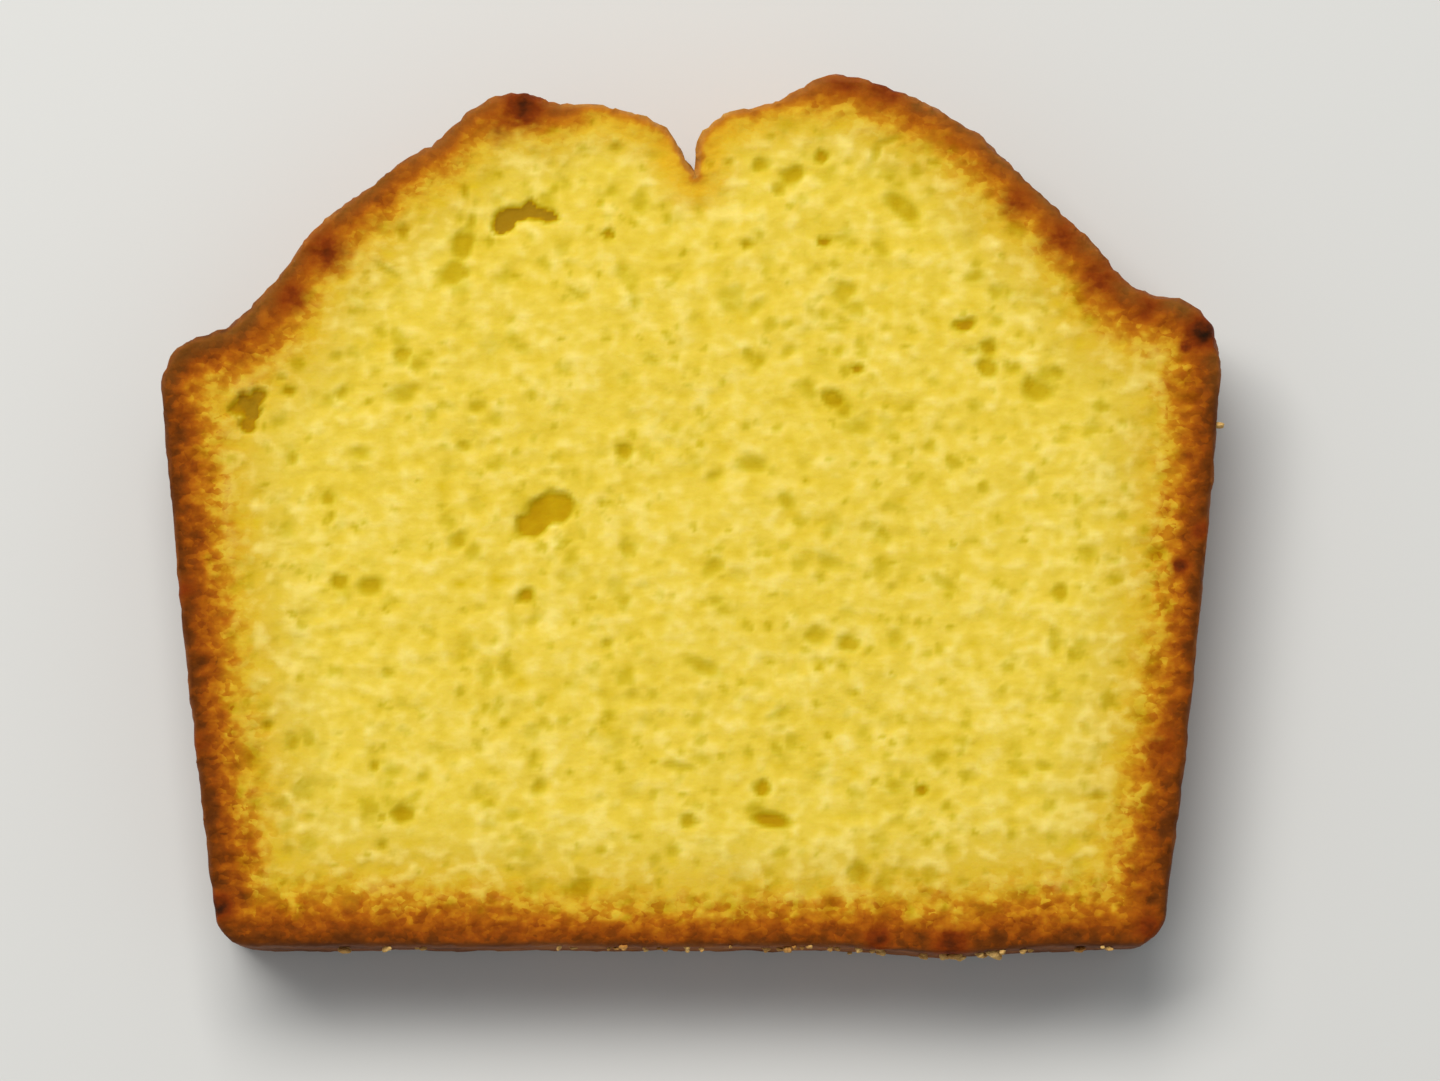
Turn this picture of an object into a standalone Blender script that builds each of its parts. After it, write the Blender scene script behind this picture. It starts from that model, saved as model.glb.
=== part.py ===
"""A slice of pound cake that lies on one cut face, as it was baked in a loaf tin.

Run it with: blender --background --python part.py, or from Blender's text editor.
The slice is one solid. Its other cut face looks up, X runs across the loaf, Y from the loaf's
base to its split dome, and Z through the slice. The origin is at the middle of the flat underside.
Everything is in metres.
"""

import math
import random

import bmesh
import bpy
from mathutils import Matrix, Vector, geometry, noise

MM = 0.001

# The loaf tin sets the width of the slice and the height of its straight sides.
RIM_WIDTH = 109.6 * MM
BASE_WIDTH = 98.2 * MM
RIM_HEIGHT = 56.5 * MM
BASE_CORNER_RADIUS = 3.4 * MM
SIDE_BOW = 0.35 * MM
# The base swelled into a dent of the tin: how far right of the middle, how wide and how deep.
BASE_SWELL = (26.8 * MM, 6.2 * MM, 0.8 * MM)
SLICE_THICKNESS = 18 * MM

# The dome rises out of the tin in two swells with a cleft between them. Each point is a distance
# from the loaf's middle and a height above its base, in millimetres, and a smooth curve joins them.
LEFT_SWELL = (
    (-54.7, 59.6),
    (-52.9, 62.3),
    (-49.7, 63.5),
    (-46.9, 64.9),
    (-43.4, 68.5),
    (-41.0, 71.9),
    (-37.6, 75.6),
    (-33.5, 78.8),
    (-30.9, 81.0),
    (-26.4, 83.4),
    (-23.8, 86.1),
    (-20.9, 88.0),
    (-17.6, 88.6),
    (-14.1, 87.4),
    (-10.3, 87.6),
    (-5.6, 86.4),
    (-2.3, 84.6),
    (-1.3, 82.4),
)
CLEFT = (0.5, 80.3)
RIGHT_SWELL = (
    (0.9, 83.4),
    (3.1, 86.2),
    (8.6, 87.6),
    (11.6, 89.0),
    (14.2, 90.3),
    (18.2, 90.0),
    (22.3, 88.5),
    (27.8, 85.7),
    (33.4, 81.0),
    (38.9, 75.5),
    (42.3, 72.5),
    (44.3, 69.5),
    (46.9, 67.7),
    (50.9, 66.8),
    (53.8, 64.6),
    (54.9, 61.0),
)

# Points along the outline, and rings of them through the slice.
OUTLINE_STEP = 1.5 * MM
CURVE_SAMPLES = 12
RING_HEIGHTS = [share * SLICE_THICKNESS for share in (0, 0.06, 0.22, 0.4, 0.58, 0.76, 0.93, 1)]

# The crust's crags: how far they stand, how wide they are, and how they grow with depth, where
# the dome's swells and the cleft wander along the loaf.
CRAG_HEIGHT = 0.32 * MM
CRAG_WIDTH = 3.6 * MM
DOME_CRAG_HEIGHT = 1.1 * MM
DOME_CRAG_WIDTH = 9 * MM
CLEFT_DRIFT = Vector((1.6 * MM, -1.4 * MM))
CLEFT_REACH = 7 * MM
CRAG_SEED = Vector((3.1, 7.7, 1.9))

# Air pockets that the knife opened in the face that looks up: the middle of each as a distance
# from the loaf's middle and a height above its base, its length, width and depth, all in
# millimetres, and the turn of its length from X in degrees.
TOP_POCKETS = (
    (-14.3, 45.7, 4.4, 3.4, 2.4, 20),
    (-16.6, 43.7, 2.5, 2.8, 1.9, 70),
    (-19.8, 75.3, 3.3, 2.5, 1.7, 10),
    (-16.2, 76.2, 4.4, 1.3, 1.2, 8),
    (-46.2, 55.9, 3.6, 3.6, 2.0, 55),
    (22.1, 76.9, 3.6, 2.3, 1.3, -40),
    (10.1, 80.0, 3.9, 2.2, 1.2, 25),
    (28.7, 64.5, 2.4, 1.5, 1.3, -20),
    (30.9, 61.3, 3.0, 2.7, 1.5, -55),
    (35.8, 57.9, 2.9, 2.8, 1.3, 30),
    (15.1, 56.6, 2.5, 2.5, 1.4, -50),
    (17.3, 54.2, 3.4, 2.4, 0.8, -55),
    (6.1, 50.0, 3.1, 2.1, 1.2, 5),
    (-17.2, 36.2, 2.3, 1.6, 1.1, 20),
    (-33.4, 37.4, 2.7, 1.6, 1.1, 5),
    (16.2, 31.3, 2.2, 1.8, 1.1, 20),
    (12.9, 32.0, 2.1, 1.6, 0.9, 30),
    (1.1, 29.1, 4.0, 1.6, 1.0, -12),
    (38.3, 36.6, 1.9, 1.7, 1.0, 0),
    (48.1, 40.7, 2.1, 1.4, 0.9, 10),
    (7.4, 16.2, 2.2, 1.8, 1.1, 0),
    (8.9, 12.9, 3.5, 1.8, 1.2, -8),
    (-29.8, 13.7, 2.3, 2.4, 1.2, 0),
    (-24.4, 71.4, 2.3, 5.6, 0.8, -14),
    (-30.0, 61.2, 2.4, 2.1, 0.9, 40),
    (-29.8, 57.4, 3.1, 1.9, 0.9, 25),
    (15.9, 67.9, 2.5, 1.8, 0.9, 20),
)

# The hidden cut face has pockets like those, scattered by chance clear of the crust.
UNDER_POCKET_COUNT = 22
UNDER_POCKET_LENGTH = (1.8 * MM, 4.2 * MM)
UNDER_POCKET_SLIMNESS = (0.55, 1.0)
UNDER_POCKET_DEPTH = (0.9 * MM, 1.8 * MM)
UNDER_POCKET_MARGIN = 8 * MM
UNDER_POCKET_SEED = 12
UNDER_REST_RADIUS = 6 * MM

CRUMB_COLOUR = (0.84, 0.62, 0.11, 1.0)
CRUST_COLOUR = (0.30, 0.105, 0.018, 1.0)
SHARP_ANGLE = math.radians(35)


def clear_scene():
    for thing in list(bpy.data.objects):
        bpy.data.objects.remove(thing)


def matte(name, colour, roughness):
    material = bpy.data.materials.new(name)
    material.use_nodes = True
    surface = material.node_tree.nodes["Principled BSDF"]
    surface.inputs["Base Color"].default_value = colour
    surface.inputs["Roughness"].default_value = roughness
    surface.inputs["Metallic"].default_value = 0.0
    return material


def smooth_curve(knots):
    """Points on a curve through the knots, whose handles follow the chord beside each knot."""
    handles = []
    for i, knot in enumerate(knots):
        before = knots[max(i - 1, 0)]
        after = knots[min(i + 1, len(knots) - 1)]
        along = (after - before).normalized()
        handles.append((knot - along * (knot - before).length / 3, knot + along * (after - knot).length / 3))
    points = [knots[0]]
    for i in range(len(knots) - 1):
        piece = geometry.interpolate_bezier(
            knots[i], handles[i][1], handles[i + 1][0], knots[i + 1], CURVE_SAMPLES
        )
        points += piece[1:]
    return points


def corner_arc(corner, start_angle, end_angle):
    """Points round a base corner of the tin, whose centre is BASE_CORNER_RADIUS inside it."""
    steps = 6
    points = []
    for i in range(steps + 1):
        angle = math.radians(start_angle + (end_angle - start_angle) * i / steps)
        points.append(corner + Vector((math.cos(angle), math.sin(angle))) * BASE_CORNER_RADIUS)
    return points


def tin_side(low, high):
    """A straight side of the tin, on which the cake's crust bows out a little."""
    outward = Vector((math.copysign(1, low.x), 0))
    steps = 10
    return [
        low.lerp(high, i / steps) + outward * SIDE_BOW * math.sin(math.pi * i / steps)
        for i in range(1, steps + 1)
    ]


def base_line(low, high):
    """Points along the base, between its corners."""
    at, width, depth = BASE_SWELL
    steps = 48
    points = [low.lerp(high, i / steps) for i in range(1, steps)]
    return [p - Vector((0, depth * math.exp(-(((p.x - at) / width) ** 2)))) for p in points]


def loaf_outline():
    """The loaf's section, anticlockwise from the base's left corner, as distance and height."""
    right_low = Vector((BASE_WIDTH / 2, BASE_CORNER_RADIUS))
    left_low = Vector((-BASE_WIDTH / 2, BASE_CORNER_RADIUS))
    right_high = Vector((RIM_WIDTH / 2, RIM_HEIGHT))
    left_high = Vector((-RIM_WIDTH / 2, RIM_HEIGHT))
    inset = Vector((BASE_CORNER_RADIUS, 0))
    cleft = Vector(CLEFT) * MM
    right_knots = [cleft] + [Vector(point) * MM for point in RIGHT_SWELL] + [right_high]
    left_knots = [left_high] + [Vector(point) * MM for point in LEFT_SWELL] + [cleft]
    left_corner = corner_arc(left_low + inset, 180, 270)
    right_corner = corner_arc(right_low - inset, 270, 360)
    outline = left_corner + base_line(left_corner[-1], right_corner[0]) + right_corner
    outline += tin_side(right_low, right_high)
    outline += list(reversed(smooth_curve(right_knots)))[1:]
    outline += list(reversed(smooth_curve(left_knots)))[1:]
    outline += list(reversed(tin_side(left_low, left_high)))[1:]
    return outline


def evenly_spaced(outline, step):
    """Points a step apart along the closed outline. The cleft's own point is kept, as it is sharp."""
    cleft = Vector(CLEFT) * MM
    first = min(range(len(outline)), key=lambda i: (outline[i] - cleft).length)
    loop = outline[first:] + outline[: first + 1]
    along = [0.0]
    for a, b in zip(loop, loop[1:]):
        along.append(along[-1] + (b - a).length)
    count = round(along[-1] / step)
    points = []
    at = 0
    for k in range(count):
        wanted = along[-1] * k / count
        while along[at + 1] < wanted:
            at += 1
        share = (wanted - along[at]) / (along[at + 1] - along[at])
        points.append(loop[at].lerp(loop[at + 1], share))
    return points


def outward_normals(outline):
    count = len(outline)
    normals = []
    for i in range(count):
        along = outline[(i + 1) % count] - outline[i - 1]
        normals.append(Vector((along.y, -along.x)).normalized())
    return normals


def crag(point, depth_share):
    """How far the crust stands out at a point of a wall: small crags all round, and on the dome
    broad ones too, which grow with depth."""
    fine = noise.noise(point / CRAG_WIDTH + CRAG_SEED) * CRAG_HEIGHT
    on_dome = min(max((point.y - RIM_HEIGHT) / (12 * MM), 0), 1)
    broad = noise.noise(point / DOME_CRAG_WIDTH - CRAG_SEED) * DOME_CRAG_HEIGHT
    return fine * (0.5 + 0.5 * depth_share) + broad * on_dome * depth_share


def cleft_shift(flat, depth_share):
    """The cleft wanders sideways and deepens along the loaf, and carries its lips with it."""
    away = (flat - Vector(CLEFT) * MM).length / CLEFT_REACH
    return CLEFT_DRIFT * depth_share * math.exp(-away * away)


def slice_body(outline, crumb, crust):
    """The section's face extruded ring by ring, each ring moved as the crust's crags are."""
    mesh = bmesh.new()
    normals = outward_normals(outline)
    ring = [mesh.verts.new((p.x, p.y, 0)) for p in outline]
    cap = mesh.faces.new(ring)
    rings = [list(cap.verts)]
    for low, high in zip(RING_HEIGHTS, RING_HEIGHTS[1:]):
        extruded = bmesh.ops.extrude_face_region(mesh, geom=[cap])["geom"]
        corners = [g for g in extruded if isinstance(g, bmesh.types.BMVert)]
        if low > 0:
            mesh.faces.remove(cap)
        cap = next(g for g in extruded if isinstance(g, bmesh.types.BMFace))
        bmesh.ops.translate(mesh, verts=corners, vec=(0, 0, high - low))
        rings.append(list(cap.verts))
    for ring in rings:
        for corner, flat, normal in zip(ring, outline, normals):
            depth_share = 1 - corner.co.z / SLICE_THICKNESS
            moved = flat + normal * crag(corner.co, depth_share) + cleft_shift(flat, depth_share)
            corner.co.xy = moved
    bmesh.ops.recalc_face_normals(mesh, faces=mesh.faces)
    for face in mesh.faces:
        face.material_index = 0 if abs(face.normal.z) > 0.9 else 1
    body = bpy.data.meshes.new("cake_slice")
    mesh.to_mesh(body)
    mesh.free()
    body.materials.append(crumb)
    body.materials.append(crust)
    obj = bpy.data.objects.new("cake_slice", body)
    bpy.context.scene.collection.objects.link(obj)
    return obj


def pocket_cutter(group, centre, length, width, depth, turn, crumb):
    """An egg-shaped cutter, half of which goes into the face that centre lies on."""
    mesh = bmesh.new()
    bmesh.ops.create_icosphere(mesh, subdivisions=2, radius=1.0)
    bmesh.ops.rotate(mesh, verts=mesh.verts, cent=(0, 0, 0), matrix=Matrix.Rotation(turn + centre.x, 3, "Z"))
    bmesh.ops.scale(mesh, verts=mesh.verts, vec=(length / 2, width / 2, depth))
    bmesh.ops.rotate(mesh, verts=mesh.verts, cent=(0, 0, 0), matrix=Matrix.Rotation(turn, 3, "Z"))
    bmesh.ops.translate(mesh, verts=mesh.verts, vec=centre)
    cutter_mesh = bpy.data.meshes.new("pocket_cutter")
    mesh.to_mesh(cutter_mesh)
    mesh.free()
    cutter_mesh.materials.append(crumb)
    cutter_mesh.shade_smooth()
    cutter = bpy.data.objects.new("pocket_cutter", cutter_mesh)
    cutter.hide_render = True
    cutter.display_type = "WIRE"
    group.objects.link(cutter)


def inside(point, outline):
    """True if the point is inside the outline and at least a pocket's margin from it."""
    crossings = 0
    for a, b in zip(outline, outline[1:] + outline[:1]):
        if (a.y > point.y) != (b.y > point.y):
            crossings += point.x < a.x + (b.x - a.x) * (point.y - a.y) / (b.y - a.y)
    nearest = min((point - corner).length for corner in outline)
    return crossings % 2 == 1 and nearest > UNDER_POCKET_MARGIN


def under_pockets(outline):
    """(middle, length, width, depth, turn) of the pockets in the underside, clear of each other
    and of the flat spot at the origin."""
    chance = random.Random(UNDER_POCKET_SEED)
    height = max(point.y for point in outline)
    middle = Vector((0, height / 2))
    chosen = []
    while len(chosen) < UNDER_POCKET_COUNT:
        at = Vector((chance.uniform(-0.5, 0.5) * RIM_WIDTH, chance.random() * height))
        length = chance.uniform(*UNDER_POCKET_LENGTH)
        width = length * chance.uniform(*UNDER_POCKET_SLIMNESS)
        depth = chance.uniform(*UNDER_POCKET_DEPTH)
        turn = chance.uniform(0, math.pi)
        apart = all((at - other[0]).length > length + other[1] for other in chosen)
        if apart and inside(at, outline) and (at - middle).length > UNDER_REST_RADIUS + length:
            chosen.append((at, length, width, depth, turn))
    return chosen


def cut_pockets(obj, outline, crumb):
    """One Boolean takes every pocket out of the slice's two cut faces."""
    group = bpy.data.collections.new("air_pockets")
    bpy.context.scene.collection.children.link(group)
    for x, height, length, width, depth, turn in TOP_POCKETS:
        centre = Vector((x * MM, height * MM, SLICE_THICKNESS))
        pocket_cutter(group, centre, length * MM, width * MM, depth * MM, math.radians(turn), crumb)
    for at, length, width, depth, turn in under_pockets(outline):
        pocket_cutter(group, at.to_3d(), length, width, depth, turn, crumb)
    cut = obj.modifiers.new("air_pockets", "BOOLEAN")
    cut.operation = "DIFFERENCE"
    cut.operand_type = "COLLECTION"
    cut.collection = group
    cut.solver = "EXACT"


def centre_on_origin(obj):
    """Moves the slice and its cutters so that the middle of its underside is at the origin."""
    corners = [corner.co for corner in obj.data.vertices]
    middle = Vector(
        [(min(c[axis] for c in corners) + max(c[axis] for c in corners)) / 2 for axis in (0, 1)] + [0]
    )
    for thing in bpy.data.objects:
        thing.data.transform(Matrix.Translation(-middle))


def build():
    clear_scene()
    crumb = matte("crumb", CRUMB_COLOUR, 0.85)
    crust = matte("crust", CRUST_COLOUR, 0.7)
    outline = evenly_spaced(loaf_outline(), OUTLINE_STEP)
    slice_object = slice_body(outline, crumb, crust)
    slice_object.data.shade_smooth()
    slice_object.data.set_sharp_from_angle(angle=SHARP_ANGLE)
    cut_pockets(slice_object, outline, crumb)
    centre_on_origin(slice_object)


build()
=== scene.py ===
# %% [markdown]
# # A slice of pound cake
#
# A pound cake is dense and fine, because it rises mostly on the air that is beaten into its
# butter. A slice of it shows three things: a pale yellow crumb full of small torn pores, a crust
# that goes from gold to dark brown within a few millimetres, and the dry baked skin round it.
# This lesson starts from the plain solid of the slice, and gives it that crumb and that crust.

# %% Load the plain solid
import math
import random

import bmesh
import bpy
from mathutils import Matrix, Vector, kdtree, noise


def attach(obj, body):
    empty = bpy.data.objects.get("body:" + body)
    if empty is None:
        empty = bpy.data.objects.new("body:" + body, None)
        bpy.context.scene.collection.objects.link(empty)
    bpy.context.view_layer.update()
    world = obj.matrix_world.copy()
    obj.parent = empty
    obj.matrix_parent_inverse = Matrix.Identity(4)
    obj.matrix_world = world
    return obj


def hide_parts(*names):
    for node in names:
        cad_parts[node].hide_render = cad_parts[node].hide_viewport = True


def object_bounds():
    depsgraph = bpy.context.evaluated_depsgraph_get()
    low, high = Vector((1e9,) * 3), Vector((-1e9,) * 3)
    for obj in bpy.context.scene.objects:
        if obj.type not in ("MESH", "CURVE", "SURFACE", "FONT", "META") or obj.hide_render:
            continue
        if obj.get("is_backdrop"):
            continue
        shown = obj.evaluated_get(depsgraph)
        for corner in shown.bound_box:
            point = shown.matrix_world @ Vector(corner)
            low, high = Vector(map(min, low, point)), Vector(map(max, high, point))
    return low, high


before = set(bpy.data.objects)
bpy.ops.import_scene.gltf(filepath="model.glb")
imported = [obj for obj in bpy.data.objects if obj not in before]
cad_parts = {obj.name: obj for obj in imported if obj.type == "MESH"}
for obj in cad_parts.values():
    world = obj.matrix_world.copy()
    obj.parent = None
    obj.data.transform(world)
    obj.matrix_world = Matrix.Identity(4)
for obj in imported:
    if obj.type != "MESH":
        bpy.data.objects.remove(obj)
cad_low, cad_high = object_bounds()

MM = 0.001
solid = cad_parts["cake_slice"]
top_z = cad_high.z
print("the slice is", [round(side / MM, 1) for side in cad_high - cad_low], "mm")

# %% [markdown]
# ## The body without its pockets
#
# The solid already has its larger air pockets, but they are smooth and egg-shaped, and a knife
# tears a pocket's rim. So the body starts whole: the two flat cut faces are taken off, the crust's
# wall is kept as it is, and its two open ends are filled. The pockets come back later in the same
# places: those of the shown face from a list of sizes, and those of the hidden face as measured
# here. Only a copy is changed, and its corners are merged first, because the solid is a mesh of
# loose triangles.

# %% Keep the wall and close its ends
FLAT = 0.05 * MM
SAME_CORNER = 0.001 * MM


def lies_flat(face):
    """True for a face of either cut end, which lies wholly at the top or at the bottom."""
    heights = [corner.co.z for corner in face.verts]
    return max(heights) < cad_low.z + FLAT or min(heights) > top_z - FLAT


def connected_to(first):
    """Every corner that edges join to the first one."""
    found = {first}
    waiting = [first]
    while waiting:
        corner = waiting.pop()
        for edge in corner.link_edges:
            other = edge.other_vert(corner)
            if other not in found:
                found.add(other)
                waiting.append(other)
    return found


def measured_pocket(corners):
    """A pocket of the hidden face: its middle, length, width, depth and turn."""
    middle = sum((corner.co for corner in corners), Vector()) / len(corners)
    tip = max((corner.co.xy - middle.xy for corner in corners), key=lambda away: away.length)
    side = tip.normalized().orthogonal()
    width = 2 * max(abs((corner.co.xy - middle.xy).dot(side)) for corner in corners)
    depth = max(corner.co.z for corner in corners) - cad_low.z
    return middle.x, middle.y, tip.length * 2, width, depth, math.atan2(tip.y, tip.x)


def hidden_pockets_of(corners):
    """The pockets of the hidden face, each measured from the corners that edges join."""
    measured = []
    seen = set()
    for corner in corners:
        if corner in seen or corner.co.z > (cad_low.z + top_z) / 2:
            continue
        pocket = connected_to(corner)
        seen |= pocket
        measured.append(measured_pocket(sorted(pocket, key=lambda found: found.index)))
    return measured


def object_from(mesh, name):
    """A new object at the origin that holds the bmesh."""
    data = bpy.data.meshes.new(name)
    mesh.to_mesh(data)
    mesh.free()
    obj = bpy.data.objects.new(name, data)
    bpy.context.scene.collection.objects.link(obj)
    return obj


mesh = bmesh.new()
mesh.from_mesh(solid.data)
bmesh.ops.remove_doubles(mesh, verts=mesh.verts, dist=SAME_CORNER)
bmesh.ops.delete(mesh, geom=[face for face in mesh.faces if lies_flat(face)], context="FACES")
wall = connected_to(min(mesh.verts, key=lambda corner: corner.co.x))
pockets = [corner for corner in mesh.verts if corner not in wall]
mesh.verts.index_update()
hidden_pockets = hidden_pockets_of(pockets)
bmesh.ops.delete(mesh, geom=pockets, context="VERTS")
bmesh.ops.holes_fill(mesh, edges=[edge for edge in mesh.edges if edge.is_boundary], sides=0)
bmesh.ops.recalc_face_normals(mesh, faces=mesh.faces)
print("wall corners kept:", len(wall), "- pocket corners left out:", len(pockets))
print(len(hidden_pockets), "pockets measured in the hidden face")
cake = object_from(mesh, "baked_slice")

# %% [markdown]
# ## An even skin of small faces
#
# Relief can only be pushed into a surface that has corners to push. A voxel remesh covers the
# whole body with squares of one size, and the squares of the cut face that looks up are then
# split once more, because most of the detail is there.

# %% Remesh, then split the upper cut face
SKIN_SQUARE = 0.74 * MM
UPPER_BAND = 0.75 * SKIN_SQUARE

remesh = cake.modifiers.new("even_skin", "REMESH")
remesh.mode = "VOXEL"
remesh.voxel_size = SKIN_SQUARE
skin = bpy.data.meshes.new_from_object(cake.evaluated_get(bpy.context.evaluated_depsgraph_get()))
bpy.data.objects.remove(cake)

mesh = bmesh.new()
mesh.from_mesh(skin)
upper = [face for face in mesh.faces if min(v.co.z for v in face.verts) > top_z - UPPER_BAND]
upper_edges = list(dict.fromkeys(edge for face in upper for edge in face.edges))
bmesh.ops.subdivide_edges(mesh, edges=upper_edges, cuts=1, use_grid_fill=True)
depth_layer = mesh.verts.layers.float.new("bake_depth")
share_layer = mesh.verts.layers.float.new("bake_share")
skin_layer = mesh.verts.layers.float.new("skin")
pore_shade_layer = mesh.verts.layers.float.new("pore")
relief_shade_layer = mesh.verts.layers.float.new("lump")
dark_layer = mesh.verts.layers.float.new("dark")
triangles = sum(len(face.verts) - 2 for face in mesh.faces)
print(len(upper), "upper squares were split; the skin has", triangles, "triangles")

# %% [markdown]
# ## The cleft down the middle
#
# The top of the loaf split open while it baked, and the slice shows that split as a narrow V. The
# remesh rounds its floor off, so the V is drawn down again: every corner near the floor moves
# towards the base and a little to the right, the nearest ones most.

# %% Draw the cleft down
CLEFT_HALF = 3.5 * MM
CLEFT_ABOVE = 25 * MM
CLEFT_CUT = Vector((0.55 * MM, -1.15 * MM, 0))
CLEFT_CUT_WIDTH = 1.5 * MM
CLEFT_SLICE = 0.8 * MM
WALL_TILT = 0.6
SKIN_TILTS = (0.45, 0.9)


def smooth_step(low, high, value):
    """From 0 below the low value to 1 above the high one, without a corner at either."""
    share = min(max((value - low) / (high - low), 0), 1)
    return share * share * (3 - 2 * share)


def on_wall(corner):
    """True for a corner whose surface faces outward more than up or down."""
    return abs(corner.normal.z) < WALL_TILT


mesh.normal_update()
near_cleft = [v for v in mesh.verts if abs(v.co.x) < CLEFT_HALF and v.co.y > CLEFT_ABOVE]
cleft_wall = [(v.co.z, v.co.y, v.co.x) for v in near_cleft if on_wall(v)]


def cleft_floor(height):
    """The place of the cleft's lowest corner at about one height."""
    beside = [(y, x) for z, y, x in cleft_wall if abs(z - height) < CLEFT_SLICE]
    low_y, low_x = min(beside)
    return Vector((low_x, low_y, height))


for corner in near_cleft:
    away = (corner.co - cleft_floor(corner.co.z)).length / CLEFT_CUT_WIDTH
    corner.co += CLEFT_CUT * math.exp(-away * away)
print("the cleft's floor was at", [round(side / MM, 1) for side in cleft_floor(top_z)], "mm")

# %% [markdown]
# ## How far each point is from the skin
#
# Crust and crumb are one batter. What differs is how near a point was to the tin or to the oven's
# air, so that distance is what the colours need. It is measured in the plane of the slice to the
# nearest corner of the wall, and kept with the mesh as an attribute. The crust isn't equally thick
# everywhere: it is thickest at the shoulders, which stood above the tin, and thinnest in the
# cleft, which split open late. A few named places say how thick, and each point takes a mean of
# them that the nearest one leads. The same share later says how brown the skin itself is.

# %% Measure the depth under the crust
BAKE_REACH = 12 * MM
PLACES_BLEND = 20
CRUST_SHARE = {
    "left shoulder": (-51, 17, 1.25),
    "left slope": (-38, 30, 1.02),
    "left crown": (-17, 42, 0.96),
    "left of cleft": (-7, 41, 0.64),
    "cleft": (0, 36, 0.48),
    "right of cleft": (7, 41, 0.64),
    "right crown": (17, 44, 0.98),
    "right slope": (36, 32, 1.02),
    "right shoulder": (52, 20, 1.2),
    "right side": (52, -10, 1.1),
    "right base corner": (47, -43, 1.3),
    "base": (0, -45, 1.06),
    "left base corner": (-46, -43, 1.25),
    "left side": (-52, -10, 1.19),
}


def crust_share(x, y):
    """The crust's thickness near a point of the slice, as a share of the usual one."""
    total = 0
    weights = 0
    for place_x, place_y, share in CRUST_SHARE.values():
        away = (x / MM - place_x) ** 2 + (y / MM - place_y) ** 2
        weight = 1 / (away + PLACES_BLEND) ** 2
        total += share * weight
        weights += weight
    return total / weights


def tree_of(places):
    """A search tree that finds the nearest of some places, and its number."""
    tree = kdtree.KDTree(len(places))
    for i, place in enumerate(places):
        tree.insert(place, i)
    tree.balance()
    return tree


mesh.normal_update()
wall_corners = [v for v in mesh.verts if on_wall(v)]
wall_tree = tree_of([v.co for v in wall_corners])
for corner in mesh.verts:
    away = wall_tree.find(corner.co)[2]
    share = crust_share(corner.co.x, corner.co.y)
    corner[share_layer] = share
    corner[depth_layer] = min(away / (share * BAKE_REACH), 1)
    corner[skin_layer] = 1 - smooth_step(*SKIN_TILTS, abs(corner.normal.z))
print("the slice's middle is", round(wall_tree.find(Vector((0, 0, top_z)))[2] / MM), "mm from its crust")
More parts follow.
